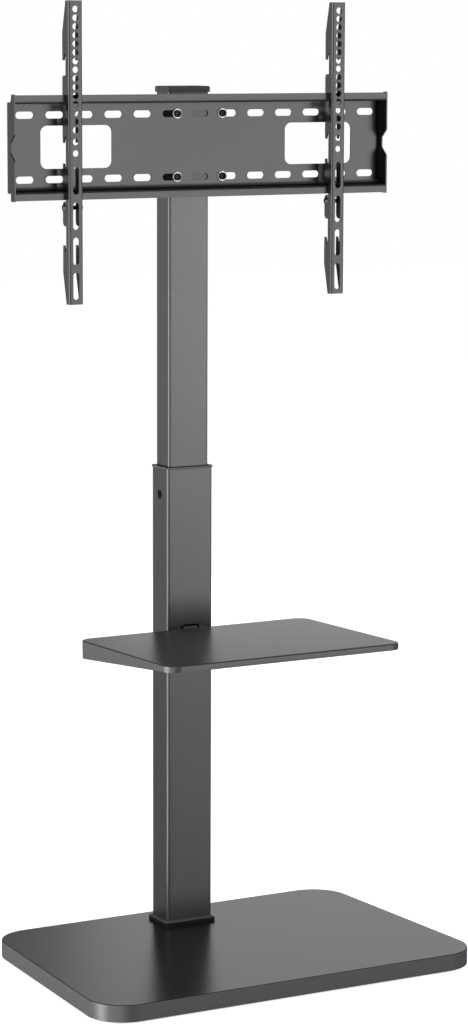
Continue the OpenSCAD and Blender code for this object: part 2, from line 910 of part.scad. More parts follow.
// The tapered end of a flange, down to its first hook
arm_end = [[0, 0], [arm_tip, 0], [arm_full, arm_taper]];

// A hook whose slit is closed at s
function hook(s) = [
    [arm_full, s], [arm_full - tine_trim, s + hook_l], [slit_mouth, s + hook_l],
    [slit_seat, s], [arm_narrow, s]
];

// The step from the narrow flange out to the full one
function step(s) = concat([[arm_narrow, s]], quarter([arm_full - step_r, s + step_r], step_r, -90));

// The same points seen from the other end of the arm
function flipped(pts) = [for (i = [len(pts) - 1:-1:0]) [pts[i][0], arm_l - pts[i][1]]];

lug = concat(
    [[arm_narrow, lug_top]],
    quarter([arm_full - lug_top_r, lug_top + lug_top_r], lug_top_r, -90),
    quarter([arm_full - lug_low_r, lug_top + lug_h - lug_low_r], lug_low_r, 0),
    [[arm_narrow, lug_top + lug_h]]
);

flange = concat(
    arm_end, hook(seats[0]), step(seats[0] + step_gap), hook(seats[1]),
    step(seats[1] + step_gap), hook(seats[2]),
    flipped(concat(step(seats[1] + step_gap), hook(seats[2]))),
    lug,
    flipped(concat(arm_end, hook(seats[0])))
);

module at_arm(side) {
    translate([side * arm_x, arm_front, arm_top])
        children();
}

module arm(side) {
    edge_x = (arm_w - arm_t) / 2;
    color([0.35, 0.35, 0.35])
        at_arm(side)
            difference() {
                intersection() {
                    translate([0, 0, -arm_l])
                        linear_extrude(arm_l)
                            folded([
                                [-edge_x, arm_full], [-edge_x, arm_t / 2], [edge_x, arm_t / 2], [edge_x, arm_full]
                            ], arm_t, arm_fold_r);
                    along_x(arm_w + 2 * over)
                        polygon([for (p = flange) [p[0], -p[1]]]);
                }
                arm_holes();
                translate([-arm_w / 2 - over, screw_d, -screw_s])
                    bar_x(screw_dia + 2 * turn_fit, arm_w + 2 * over);
            }
}

module arm_holes() {
    row = [for (k = [0:hole_count - 1]) first_hole + k * hole_pitch];
    for (s = concat(row, [arm_l / 2 - extra_hole_gap, arm_l / 2]))
        translate([0, -over, -s])
            bar_y(hole_dia, arm_t + 2 * over);
    for (k = [0:long_slot_count - 1])
        translate([0, -over, -arm_l + last_slot + k * long_slot_pitch])
            rotate([-90, 90, 0])
                linear_extrude(arm_t + 2 * over)
                    slot_outline(long_slot_l, hole_dia);
}

module safety_screw(side) {
    shank_l = arm_w + screw_nut_h + screw_end;
    ball_r = (pow(screw_head_dia / 2, 2) + pow(screw_head_h, 2)) / (2 * screw_head_h);
    color([0.5, 0.5, 0.5])
        at_arm(side)
            translate([-arm_w / 2, screw_d, -screw_s])
                difference() {
                    union() {
                        bar_x(screw_dia, shank_l);
                        intersection() {
                            translate([-screw_head_h + ball_r, 0, 0])
                                sphere(ball_r);
                            translate([-screw_head_h, 0, 0])
                                bar_x(screw_head_dia, screw_head_h);
                        }
                    }
                    translate([-screw_head_h - over, -screw_key_w / 2, -screw_key_l / 2])
                        cube([screw_key_h + over, screw_key_w, screw_key_l]);
                }
}

module safety_nut(side) {
    color([0.5, 0.5, 0.5])
        at_arm(side)
            translate([arm_w / 2, screw_d, -screw_s])
                difference() {
                    rotate([0, 90, 0])
                        hex(screw_nut_flats, screw_nut_h);
                    translate([-over, 0, 0])
                        bar_x(screw_dia + 2 * turn_fit, screw_nut_h + 2 * over);
                }
}

module left_arm() { arm(-1); }
module right_arm() { arm(1); }
module left_safety_screw() { safety_screw(-1); }
module right_safety_screw() { safety_screw(1); }
module left_safety_nut() { safety_nut(-1); }
module right_safety_nut() { safety_nut(1); }

base_board();
base_pads();
base_bolts();
base_washers();
column_foot();
foot_collar();
lower_column();
guide_collar();
lock_insert();
lock_screw();
inner_glide();
upper_column();
top_cap();
shelf();
shelf_bracket();
shelf_screws();
shelf_bolt();
head_bracket();
mount_plate();
plate_bolts();
plate_washers();
plate_nuts();
left_arm();
right_arm();
left_safety_screw();
right_safety_screw();
left_safety_nut();
right_safety_nut();
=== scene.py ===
# %% [markdown]
# # A television floor stand, dressed on its CAD frame
#
# The stand is a heavy board, a telescoping column of two rectangular tubes, a small hooked-on
# shelf and a slotted head plate with two hooked arms. The CAD model already holds every sheet, tube
# and screw at its real size. This lesson gives them what a photograph shows beyond that: edges that
# catch the light, turned and socketed hardware, welds, rubber, and paint with a grain.
#
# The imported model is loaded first, as a frame that never moves. Every new piece rides on one of its
# bodies, so that it follows the joints.

# %% Load the frame
import json
import math

import bmesh
import bpy
from mathutils import Matrix, Vector


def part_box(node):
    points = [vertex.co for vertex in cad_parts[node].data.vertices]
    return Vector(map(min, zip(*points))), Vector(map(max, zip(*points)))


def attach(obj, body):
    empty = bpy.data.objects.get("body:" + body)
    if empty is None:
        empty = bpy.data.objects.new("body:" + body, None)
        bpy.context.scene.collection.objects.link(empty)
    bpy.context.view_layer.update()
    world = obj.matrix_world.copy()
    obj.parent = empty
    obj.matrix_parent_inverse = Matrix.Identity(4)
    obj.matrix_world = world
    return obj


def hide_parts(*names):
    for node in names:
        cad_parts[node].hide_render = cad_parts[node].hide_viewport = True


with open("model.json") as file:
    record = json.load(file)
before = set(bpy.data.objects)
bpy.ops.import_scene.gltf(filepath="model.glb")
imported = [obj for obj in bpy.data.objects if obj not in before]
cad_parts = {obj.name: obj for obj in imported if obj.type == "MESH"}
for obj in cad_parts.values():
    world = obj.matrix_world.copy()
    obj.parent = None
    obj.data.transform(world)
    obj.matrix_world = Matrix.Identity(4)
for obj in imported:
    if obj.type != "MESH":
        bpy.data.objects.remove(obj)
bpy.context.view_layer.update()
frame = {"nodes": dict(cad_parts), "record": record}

# %% [markdown]
# ## The camera
#
# The photograph was taken with a long lens from the stand's left, a little above the head plate's
# middle. The camera could be placed by eye, but a long lens makes small errors of angle look like
# errors of shape. So its place, direction and focal length come from a fit to the edges of the real
# stand, and the small shift is the photograph's own framing.

# %% Place the camera
PHOTO_HEIGHT_PX = 1024
FOCAL_PX = 3226.95
SENSOR_MM = 36
SHIFT = (0.0149, -0.0104)
AZIMUTH, ELEVATION, ROLL = (math.radians(v) for v in (-28.90, 8.27, 0.135))
CAMERA_PLACE = Vector((-2.23705, -4.01848, 1.35087))


def turned_basis():
    """The camera's right, up and forward directions."""
    forward = Vector((-math.sin(AZIMUTH) * math.cos(ELEVATION),
                      math.cos(AZIMUTH) * math.cos(ELEVATION), -math.sin(ELEVATION)))
    level = Vector((math.cos(AZIMUTH), math.sin(AZIMUTH), 0))
    upright = level.cross(forward)
    right = math.cos(ROLL) * level + math.sin(ROLL) * upright
    return right, right.cross(forward), forward


def photo_camera():
    lens = bpy.data.cameras.new("photo_camera")
    lens.sensor_width = SENSOR_MM
    lens.lens = SENSOR_MM * FOCAL_PX / PHOTO_HEIGHT_PX
    lens.shift_x, lens.shift_y = SHIFT
    lens.clip_start, lens.clip_end = 0.1, 100
    camera = bpy.data.objects.new("photo_camera", lens)
    right, up, forward = turned_basis()
    turn = Matrix((right, up, -forward)).transposed().to_4x4()
    camera.matrix_world = Matrix.Translation(CAMERA_PLACE) @ turn
    bpy.context.scene.collection.objects.link(camera)
    bpy.context.scene.camera = camera
    return lens


print(f"Camera with a {photo_camera().lens:.1f} mm lens")

# %% [markdown]
# ## Shader arithmetic
#
# Paint, rubber and board are patterns worked out from the place of a point on the object. Linking
# nodes by hand is slow to read, so a small class wraps a socket and lets plain arithmetic add the
# nodes. Colours don't go through it, because Math nodes would turn them grey: they are mixed instead.

# %% A socket that can be added and multiplied
def plug(tree, socket, value):
    """Links a wire to a socket, or sets the socket to a plain value."""
    if isinstance(value, Wire):
        tree.links.new(value.socket, socket)
    else:
        socket.default_value = value


class Wire:
    """An output socket on which arithmetic adds Math nodes."""

    def __init__(self, socket):
        self.socket = socket
        self.tree = socket.id_data

    def maths(self, operation, first, second=0.0):
        made = self.tree.nodes.new("ShaderNodeMath")
        made.operation = operation
        plug(self.tree, made.inputs[0], first)
        plug(self.tree, made.inputs[1], second)
        return Wire(made.outputs[0])

    def __add__(self, other):
        return self.maths("ADD", self, other)

    def __sub__(self, other):
        return self.maths("SUBTRACT", self, other)

    def __rsub__(self, other):
        return self.maths("SUBTRACT", other, self)

    def __mul__(self, other):
        return self.maths("MULTIPLY", self, other)

    def size(self):
        """The value without its sign."""
        return self.maths("ABSOLUTE", self)

    def or_more(self, other):
        """The larger of two values."""
        return self.maths("MAXIMUM", self, other)

    __radd__, __rmul__ = __add__, __mul__


print("Sockets add and multiply")

# %% [markdown]
# ## One call for any other node
#
# A Noise, Mix or Bump node differs from a Math node only in its settings and its sockets. Each kind
# could have a function of its own, but one method that takes a type, the settings and the inputs
# does for all of them. Three short names are added for what is used most: a smooth ramp, one axis
# of a vector, and the dot product, which says how far two directions agree.

# %% A tree of nodes
class Nodes:
    """A node tree, with one call that adds any node."""

    def __init__(self, tree):
        self.tree = tree

    def node(self, kind, settings=None, inputs=None, output=0):
        made = self.tree.nodes.new("ShaderNode" + kind)
        for name, value in (settings or {}).items():
            setattr(made, name, value)
        for name, value in (inputs or {}).items():
            plug(self.tree, made.inputs[name], value)
        return Wire(made.outputs[output])

    def ramp(self, value, start, end, first=0.0, last=1.0):
        """Goes smoothly from first to last as the value goes from start to end."""
        return self.node("MapRange", {"interpolation_type": "SMOOTHSTEP"}, {
            "Value": value, "From Min": start, "From Max": end, "To Min": first, "To Max": last})

    def along(self, axis, vector):
        """The X, Y or Z of a vector."""
        return self.node("SeparateXYZ", None, {"Vector": vector}, axis)

    def dot(self, first, second):
        return self.node("VectorMath", {"operation": "DOT_PRODUCT"}, {0: first, 1: second}, "Value")


print("Trees can be built")

# %% [markdown]
# ## A finish and its masks
#
# A finish is the tree of one material, with the names that a painter would use: the grain, the
# upright faces, the inside of a hollow. Masks could be painted by hand on each face, but they would
# be lost with any change to the CAD model. So they are worked out from the place of a point and from
# the way that its face looks.

# %% A finish in the making
MM = 0.001
WHITE = (1.0, 1.0, 1.0)


def grey(level, tint=WHITE):
    return tuple(level * t for t in tint) + (1.0,)


class Finish(Nodes):
    """A material being made."""

    def __init__(self, name):
        self.material = bpy.data.materials.new(name)
        self.material.use_nodes = True
        super().__init__(self.material.node_tree)
        self.shader = self.tree.nodes["Principled BSDF"]
        self.place = self.node("TexCoord", output="Object")
        self.normal = self.node("TexCoord", output="Normal")

    def noise(self, grain_mm, detail):
        """A cloudy pattern between 0 and 1 whose blots are about grain_mm wide."""
        return self.node("TexNoise", None, {"Vector": self.place, "Scale": 1 / (grain_mm * MM),
                                            "Detail": detail}, "Fac")

    def mixed(self, share, first, second):
        """The colour share of the way from first to second."""
        return self.node("Mix", {"data_type": "RGBA"}, {0: share, 6: first, 7: second}, 2)

    def clouded(self, share, level, spread, dark=WHITE, light=WHITE):
        """A grey that goes from a little under its level to a little over it, each with a tint."""
        return self.mixed(share, grey(level * (1 - spread), dark), grey(level * (1 + spread), light))

    def uneven(self, middle, spread, noise):
        """A roughness that a noise moves to both sides of its middle."""
        return middle - spread / 2 + spread * noise

    def upright(self):
        """1 on the upright faces of a piece and 0 on the level ones."""
        return self.ramp(self.along("Z", self.normal).size(), 0.35, 0.65, 1.0, 0.0)

    def sideways(self):
        """1 on the faces that look to the left or the right."""
        return self.ramp(self.along("X", self.normal).size(), 0.7, 0.95)

    def from_middle(self, node):
        """The way from the middle of a CAD node's box."""
        low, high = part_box(node)
        return self.node("VectorMath", {"operation": "SUBTRACT"}, {0: self.place, 1: (low + high) / 2})

    def inside(self, node, axes, reach_mm):
        """1 on faces that look back to the node's middle from reach_mm away along the axes. It rises
        between 0.4 and 0.7 of that reach."""
        way = self.node("VectorMath", {"operation": "MULTIPLY"}, {0: self.from_middle(node), 1: axes})
        return self.ramp(self.dot(way, self.normal), -0.4 * reach_mm * MM, -0.7 * reach_mm * MM)

    def bumped(self, height, depth_mm, strength):
        return self.node("Bump", None, {"Height": height, "Distance": depth_mm * MM,
                                        "Strength": strength}, "Normal")

    def set(self, **sockets):
        for name, value in sockets.items():
            plug(self.tree, self.shader.inputs[name.replace("_", " ")], value)
        return self.material


print("Finishes can be mixed")

# %% [markdown]
# ## Paint on steel
#
# The steel is powder coated: a dry paint with metal flakes, sprayed and baked, which flows into a
# skin with a fine grain and a faint orange peel. One flat colour would look like card. The grain
# could be modelled, but it is a few hundredths of a millimetre deep, so it is a bump made of two
# sizes of noise. A slow cloud of a few hundred millimetres keeps large faces from being dead even.
#
# The upright faces of a sheet can be painted paler than its level ones, with one shade on the front
# and a paler one on the sides: painted light, for how the lamps fall on them. Where a mask says so,
# the inside of a tray or a channel gets a darker, rougher coat without metal: painted shade.

# %% Powder coat, with painted light on upright faces and painted shade in hollows
GRAIN_MM, PEEL_MM, CLOUD_MM = 0.55, 2.6, 240
COOL = (1.0, 1.005, 1.015)
HOLLOW_ROUGHER = 0.4


def powder_coat(name, level, metallic=0.85, edge=None, shade_mask=None, shaded_share=None):
    """The level is the paint's brightness, edge gives the painted light of the front and the side faces,
    and the last two give the painted shade of a hollow: its mask, and the share of the level that it keeps."""
    finish = Finish(name)
    grain, peel, cloud = finish.noise(GRAIN_MM, 1), finish.noise(PEEL_MM, 1), finish.noise(CLOUD_MM, 3)
    colour = finish.clouded(cloud * 0.7 + grain * 0.3, level, spread=0.12, light=COOL)
    rough = finish.uneven(middle=0.32, spread=0.1, noise=grain)
    if edge:
        # Painted light: upright faces take the front shade, and those that look sideways the side shade.
        rim = finish.mixed(finish.sideways(), *(grey(shade) for shade in edge))
        colour = finish.mixed(finish.upright(), colour, rim)
    if shade_mask:
        # Painted shade: the masked faces are darker, rougher and not metallic.
        share = shade_mask(finish)
        colour = finish.mixed(share, colour, grey(level * shaded_share))
        rough, metallic = rough + HOLLOW_ROUGHER * share, metallic - metallic * share
    return finish.set(Base_Color=colour, Metallic=metallic, Roughness=rough, Specular_IOR_Level=0.02,
                      Normal=finish.bumped(grain * 0.5 + peel * 0.5, depth_mm=0.05, strength=0.5))


COATS = {
    "steel": powder_coat("powder_coat_column", 0.17, metallic=0.96),
    # Painted light: the shelf's upright faces are paler than its top, and paler on the sides than on the
    # front.
    "shelf_steel": powder_coat("powder_coat_shelf", 0.066, metallic=0.7, edge=(0.12, 0.2)),
}
print("Paints:", ", ".join(COATS))

# %% [markdown]
# ## Board and plastics
#
# The board is fibreboard under a satin film with a faint fleck. Its film mirrors the room at a
# glancing look and is nearly black from above. Its edge band is painted paler than the film, and
# paler on the sides than on the front, as painted light, and its gloss shines along the round corners.
# The caps and collars are moulded plastic whose tool was spark eroded, which leaves a fine even
# texture. Some are painted paler on the faces that look sideways or up, as painted light, and one is
# painted darker on its level faces, as painted shade.

# %% Satin film and moulded plastic
def satin_board(name, level, edge):
    """The level is the film's brightness, and edge gives the painted light of the band's front and sides."""
    finish = Finish(name)
    fleck, cloud, peel = finish.noise(0.9, 3), finish.noise(190, 3), finish.noise(3.5, 1)
    film = finish.clouded(cloud * 0.6 + fleck * 0.4, level, spread=0.14)
    # Painted light: the edge band is paler than the film, and paler on the sides than on the front.
    band = finish.mixed(finish.sideways(), *(grey(shade) for shade in edge))
    band = finish.mixed(fleck * 0.3, band, grey(edge[0] * 0.8))
    top = finish.ramp(finish.along("Z", finish.normal), 0.05, 0.25)
    return finish.set(Base_Color=finish.mixed(top, band, film), Metallic=0.5 - 0.5 * top,
                      Roughness=finish.uneven(middle=0.26, spread=0.08, noise=fleck),
                      Normal=finish.bumped(fleck * 0.4 + peel * 0.6, depth_mm=0.04, strength=0.4))


def moulded(name, level, roughness=0.45, sides=None, level_face_light_and_shade=None, gloss=0.5):
    """The sides and the level faces' levels are painted light and shade: other levels for the faces that
    look sideways, or up and down.
    """
    finish = Finish(name)
    spark, cloud = finish.noise(0.35, 1), finish.noise(30, 2)
    colour = finish.clouded(cloud, level, spread=0.1)
    # Painted light on the faces that look sideways, and a painted level on those that look up and down:
    # light on some pieces and shade on others.
    if sides:
        colour = finish.mixed(finish.sideways(), colour, grey(sides))
    if level_face_light_and_shade:
        colour = finish.mixed(finish.upright(), grey(level_face_light_and_shade), colour)
    return finish.set(Base_Color=colour, Roughness=finish.uneven(roughness, spread=0.08, noise=spark),
                      Specular_IOR_Level=gloss, Normal=finish.bumped(spark, depth_mm=0.03, strength=0.5))


COATS.update({
    # Painted light on the board's edge band.
    "board": satin_board("satin_board", 0.006, edge=(0.135, 0.21)),
    "plastic": moulded("moulded_plastic", 0.011, roughness=0.32),
    # Painted shade: the guide collar is darker on its level faces, which draws dark lines along its flange.
    "guide_plastic": moulded("moulded_guide", 0.11, roughness=0.4, level_face_light_and_shade=0.008, gloss=0.3),
    "rubber": moulded("rubber", 0.022, roughness=0.75),
})
print("Finishes:", len(COATS))

# %% [markdown]
# ## Plated metals
#
# Washers are zinc plated, with the faint blue and the patches of that plating. Bolts are black
# oxide, which is nearly as dark as the paint but sharper in its gloss, and the safety screws have a
# dark nickel. Plating grows in small crystals, so the patches are Voronoi cells.

# %% Zinc, black oxide and nickel
CRYSTALS_PER_M = 600.0


def plated(name, level, tint, roughness):
    finish = Finish(name)
    crystals = {"Vector": finish.place, "Scale": CRYSTALS_PER_M}
    patches, scuff = finish.node("TexVoronoi", None, crystals, "Distance"), finish.noise(0.3, 2)
    colour = finish.clouded(patches, level, spread=0.12, dark=tint, light=tint)
    return finish.set(Base_Color=colour, Metallic=1.0,
                      Roughness=finish.uneven(roughness, spread=0.1, noise=scuff),
                      Normal=finish.bumped(scuff, depth_mm=0.01, strength=0.4))


COATS.update({
    "dark_screw": plated("black_oxide", 0.03, tint=(1.0, 1.0, 1.03), roughness=0.22),
    "nickel": plated("dark_nickel", 0.13, tint=(1.0, 0.98, 0.95), roughness=0.18),
    "zinc": plated("zinc_plate", 0.5, tint=(0.97, 1.0, 1.02), roughness=0.25),
})
print("Finishes:", len(COATS))

# %% [markdown]
# ## Coats for the hollow pieces
#
# The head plate is a shallow tray, the arms are channels and the head bracket is a box, and where
# each gets painted shade depends on where its own middle is. So each has its own coat. A face is inside
# when its normal points back to the middle, and outside when it points away, which a negative reach
# finds. The back of the tray also gets a band of painted shade close to each lip.

# %% Painted shade masks and the coats that use them
# Painted shade: the heights of the two dark bands on the tray's back, from its middle, and the margin at its
# front and back where they fade.
LOWER_SHADE_BAND_MM, UPPER_SHADE_BAND_MM, LIP_MM = (-54, -61), (60, 64), 6


def tray_painted_shade(finish):
    """Painted shade on the inner faces of the head plate's tray, and on the back of the tray close to its
    lips.
    """
    low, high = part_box("mount_plate")
    up = finish.along("Z", finish.from_middle("mount_plate"))
    lower, upper = (finish.ramp(up, *(v * MM for v in band)) for band in (LOWER_SHADE_BAND_MM, UPPER_SHADE_BAND_MM))
    deep = finish.ramp(finish.along("Y", finish.place), low.y + LIP_MM * MM, high.y - LIP_MM * MM)
    facing_ahead = finish.ramp(finish.along("Y", finish.normal), -0.3, -0.6)
    lip_shade_band = (lower + upper) * deep * facing_ahead
    return lip_shade_band.or_more(0.9 * finish.inside("mount_plate", (1, 0, 1), 70))


# Painted shade: the head bracket's outer side walls, seen through the plate's slots, are painted dark.
def bracket_sides_painted_shade(finish):
    return finish.inside("head_bracket", (1, 0, 0), -40)


# Painted light on the arms' side faces, paler than their front, and painted shade on their inner faces.
def arm_coat(node):
    return powder_coat("powder_coat_" + node, 0.122, metallic=0.98, edge=(0.122, 0.152), shaded_share=0.5,
                       shade_mask=lambda finish: finish.inside(node, (1, 1, 0), 9))


OWN_COATS = {
    # Painted shade: the tray is darkened inside and along a band by each lip.
    "mount_plate": powder_coat("powder_coat_tray", 0.124, metallic=1.0, shade_mask=tray_painted_shade, shaded_share=0.03),
    "left_arm": arm_coat("left_arm"),
    "right_arm": arm_coat("right_arm"),
    # Painted shade on the head bracket's sides.
    "head_bracket": powder_coat("powder_coat_bracket", 0.115, shade_mask=bracket_sides_painted_shade, shaded_share=0.04),
    # Painted light: the hook's coat is paler than the steel's, for the light on it where it shows in the
    # column's slot.
    "shelf_bracket": powder_coat("powder_coat_hook", 0.26),
    # Painted light: the cap is paler on the faces that look sideways.
    "top_cap": moulded("moulded_cap", 0.032, sides=0.04),
    # Painted light: the foot collar is paler on its level faces.
    "foot_collar": moulded("moulded_foot", 0.009, roughness=0.35, level_face_light_and_shade=0.055, gloss=0.3),
}
print("Own coats:", ", ".join(OWN_COATS))

# %% [markdown]
# ## Every node gets its finish
#
# The nodes could be given their materials one by one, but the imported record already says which
# finish each of them has. So the script follows it, and only the pieces above have a coat of their
# own. Each CAD mesh keeps its exact shape here and only takes its material.

# %% Paint the nodes
SLOT = {part["node"]: part["material_slot"] for part in frame["record"]["subparts"]}
BODY = {node: body for body, nodes in frame["record"]["behaviour"]["bodies"].items() for node in nodes}


def coat_of(node):
    return OWN_COATS.get(node) or COATS[SLOT[node]]


for node, thing in frame["nodes"].items():
    thing.data.materials.clear()
    thing.data.materials.append(coat_of(node))

# %% [markdown]
# ## Edges that catch the light
#
# No cut or folded edge of sheet steel is knife sharp: tumbling and the paint leave about a third of
# a millimetre of round on it, and that thin bright line is what makes sheet read as steel. The round
# could be modelled by hand on each piece. A Bevel modifier on a merged copy of the node's own mesh
# gives it everywhere, and keeps every hole and fold where the CAD model has it.

# %% Rounded copies of the sheets and tubes
MERGE_MM, ROUND_STEPS, ROOMY_MM = 0.003, 2, 0.8
FLAT, SMOOTH, SHARP = (math.radians(v) for v in (0.4, 32, 35))


def merged_copy(node):
    """A node's mesh as a bmesh whose doubled points are joined."""
    shape = bmesh.new()
    shape.from_mesh(frame["nodes"][node].data)
    bmesh.ops.remove_doubles(shape, verts=shape.verts, dist=MERGE_MM * MM)
    return shape


def mesh_of(shape, name):
    mesh = bpy.data.meshes.new(name)
    shape.to_mesh(mesh)
    shape.free()
    return mesh


def finished_piece(name, mesh, node, replaced=True):
    """Gives a mesh its smooth faces and finish, and puts it on the body of its node."""
    piece = bpy.data.objects.new(name, mesh)
    bpy.context.scene.collection.objects.link(piece)
    mesh.shade_smooth()
    mesh.set_sharp_from_angle(angle=SMOOTH)
    mesh.materials.clear()
    mesh.materials.append(coat_of(node))
    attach(piece, BODY[node])
    if replaced:
        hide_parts(node)
    return piece


def rounded_copy(node, width_mm):
    """Stands in for a node with a round of this width. Wide ones have room and needn't be clamped."""
    shape = merged_copy(node)
    bmesh.ops.dissolve_limit(shape, angle_limit=FLAT, verts=shape.verts, edges=shape.edges)
    piece = finished_piece(node + "_rounded", mesh_of(shape, node + "_rounded"), node)
    bevel = piece.modifiers.new("round", "BEVEL")
    bevel.width, bevel.segments = width_mm * MM, ROUND_STEPS
    bevel.limit_method, bevel.angle_limit = "ANGLE", SHARP
    bevel.harden_normals, bevel.use_clamp_overlap = True, width_mm < ROOMY_MM


EDGES_MM = {
    "base_board": 1.0, "foot_collar": 0.5, "lower_column": 0.35, "guide_collar": 0.9, "lock_insert": 0.3,
    "upper_column": 0.3, "top_cap": 0.6, "shelf": 0.35, "shelf_bracket": 0.4, "shelf_screws": 0.25,
    "shelf_bolt": 0.25, "head_bracket": 0.35, "mount_plate": 0.35, "left_arm": 0.35, "right_arm": 0.35,
    "left_safety_screw": 0.25, "right_safety_screw": 0.25, "column_foot": 0.4, "inner_glide": 0.3,
}
for node, width in EDGES_MM.items():
    rounded_copy(node, width)
print("Rounded", len(EDGES_MM), "nodes")

# %% [markdown]
# ## Turned hardware
#
# Bolts, washers, nuts and pads are round about an axis, so each is a profile of a few points that is
# spun once round. A hexagon, as of a socket or a nut, is a ring of the spun mesh whose points are
# moved in until they stand on the six flats, and only its corners keep their radius.

# %% Spin a profile, then move rings onto a hexagon
SPIN_STEPS = 48
TINY_MM = 0.001
HALF_SIDE = math.radians(30)


def turned(profile, hexed=(), closed=False):
    """Spins (radius, height) points in mm round Z. The numbers in hexed name those on a hexagon."""
    shape = bmesh.new()
    points = [shape.verts.new((r * MM, 0, z * MM)) for r, z in profile]
    edges = [shape.edges.new(pair) for pair in zip(points, points[1:])]
    if closed:
        edges.append(shape.edges.new((points[-1], points[0])))
    bmesh.ops.spin(shape, geom=points + edges, cent=(0, 0, 0), axis=(0, 0, 1), angle=math.tau,
                   steps=SPIN_STEPS, use_merge=True)
    tiny = TINY_MM * MM
    bmesh.ops.remove_doubles(shape, verts=shape.verts, dist=tiny)
    for r, z in (profile[i] for i in hexed):
        for vert in shape.verts:
            if abs(vert.co.z - z * MM) < tiny and abs(vert.co.xy.length - r * MM) < tiny:
                turn = math.atan2(vert.co.y, vert.co.x) % (2 * HALF_SIDE) - HALF_SIDE
                vert.co.xy *= math.cos(HALF_SIDE) / math.cos(turn)
    return shape


def corner_r(flats):
    """The radius at the corners of a hexagon that measures flats across."""
    return flats / 2 / math.cos(HALF_SIDE)


print("Profiles can be spun in", SPIN_STEPS, "steps")

# %% [markdown]
# ## Hardware in its places
#
# The four bolts of the plate are one node with four solids. The places could be typed in, but they
# would be wrong after any change to the CAD model. So the solids of a node are told apart by walking
# along the edges of its mesh, and the new shape is set at the lowest end of each one's box.

# %% Find the solids of a node and stand new shapes in for them
def solids(node):
    """The lowest and highest corner of each separate solid of a node, in order along X, Y and Z."""
    shape = merged_copy(node)
    waiting, found = set(shape.verts), []
    while waiting:
        border, group = [waiting.pop()], []
        while border:
            vert = border.pop()
            group.append(vert.co.copy())
            linked = {edge.other_vert(vert) for edge in vert.link_edges} & waiting
            waiting -= linked
            border.extend(linked)
        found.append([Vector([pick(co[axis] for co in group) for axis in range(3)]) for pick in (min, max)])
    shape.free()
    return sorted(found, key=lambda ends: [round(v, 5) for v in ends[0]])


def size_mm(node):
    """The size of a node's first solid."""
    low, high = solids(node)[0]
    return (high - low) / MM


TURN_TO = {"X": Matrix.Rotation(math.radians(90), 4, "Y"), "Y": Matrix.Rotation(math.radians(-90), 4, "X"),
           "Z": Matrix()}


def stand_ins(node, name, axis, *shapes, twist=0.0):
    """One copy of the shapes for each solid of a node, along an axis from the solid's lowest end."""
    whole, along, ends = bmesh.new(), "XYZ".index(axis), solids(node)
    for low, high in ends:
        place = (low + high) / 2
        place[along] = low[along]
        matrix = Matrix.Translation(place) @ TURN_TO[axis] @ Matrix.Rotation(math.radians(twist), 4, "Z")
        for shape in shapes:
            spare = bpy.data.meshes.new("spare")
            shape.to_mesh(spare)
            spare.transform(matrix)
            whole.from_mesh(spare)
            bpy.data.meshes.remove(spare)
    bmesh.ops.recalc_face_normals(whole, faces=whole.faces)
    mesh = mesh_of(whole, name)
    print(f"{name}: {len(ends)} of {node}, {len(mesh.polygons)} faces")
    finished_piece(name, mesh, node)


# %% [markdown]
# ### The plate's bolts, washers and nuts
#
# The head plate hangs on four black socket bolts over bright washers. The head has a rounded rim
# and a hexagon socket with a drilled floor, and the washer a broken edge. Each nut behind the plate
# has its corners turned off at about 30 degrees, and the bolt's end shows its thread: a ridge swept
# by a spin that climbs one pitch a turn.

# %% Model the plate's hardware
def socket_bolt(head_r, head_h, shank_r, length, socket_r, socket_d):
    """A socket bolt along Z, from its head's face at 0 to its end."""
    rim, drilled, mouth, under, tip = 0.5, 0.6, 0.3, 0.3, 0.6
    socket = [(0, socket_d + drilled), (socket_r * 0.8, socket_d), (socket_r, socket_d),
              (socket_r, mouth), (socket_r + 0.35, 0)]
    head = [(head_r - 2 * rim, 0), (head_r - 0.9 * rim, 0.25 * rim), (head_r - 0.25 * rim, 0.9 * rim),
            (head_r, 2 * rim), (head_r, head_h - under), (head_r - under, head_h)]
    shank = [(shank_r, head_h), (shank_r, length - tip), (shank_r - tip, length), (0, length)]
    return turned(socket + head + shank, hexed=(1, 2, 3))


def washer(outer_r, inner_r, thick):
    broken, eased = 0.35, 0.15
    return turned([
        (inner_r, eased), (inner_r + eased, 0), (outer_r - broken, 0), (outer_r, broken),
        (outer_r, thick - eased), (outer_r - eased, thick), (inner_r, thick)
    ], closed=True)


def nut(flats, high, bore_r):
    corner, face, bite, sink = corner_r(flats), flats / 2 * 0.97, 0.55, 0.4
    mouth = bore_r + 0.5
    return turned([
        (bore_r, sink), (mouth, 0), (face, 0), (corner, bite), (corner, high - bite), (face, high),
        (mouth, high), (bore_r, high - sink)
    ], hexed=(3, 4), closed=True)


def thread(radius, pitch, start, end):
    """A helical ridge on a shank along Z."""
    deep, per_turn, turns = 0.45, 24, int((end - start) / pitch) - 1
    profile = [(radius - deep, start), (radius, start + pitch * 0.42), (radius - deep, start + pitch * 0.84)]
    shape = bmesh.new()
    ridge = shape.faces.new([shape.verts.new((r * MM, 0, z * MM)) for r, z in profile])
    bmesh.ops.spin(shape, geom=[ridge], cent=(0, 0, 0), axis=(0, 0, 1), dvec=(0, 0, pitch / per_turn * MM),
                   angle=math.tau * turns, steps=per_turn * turns)
    bmesh.ops.holes_fill(shape, edges=shape.edges, sides=4)
    return shape


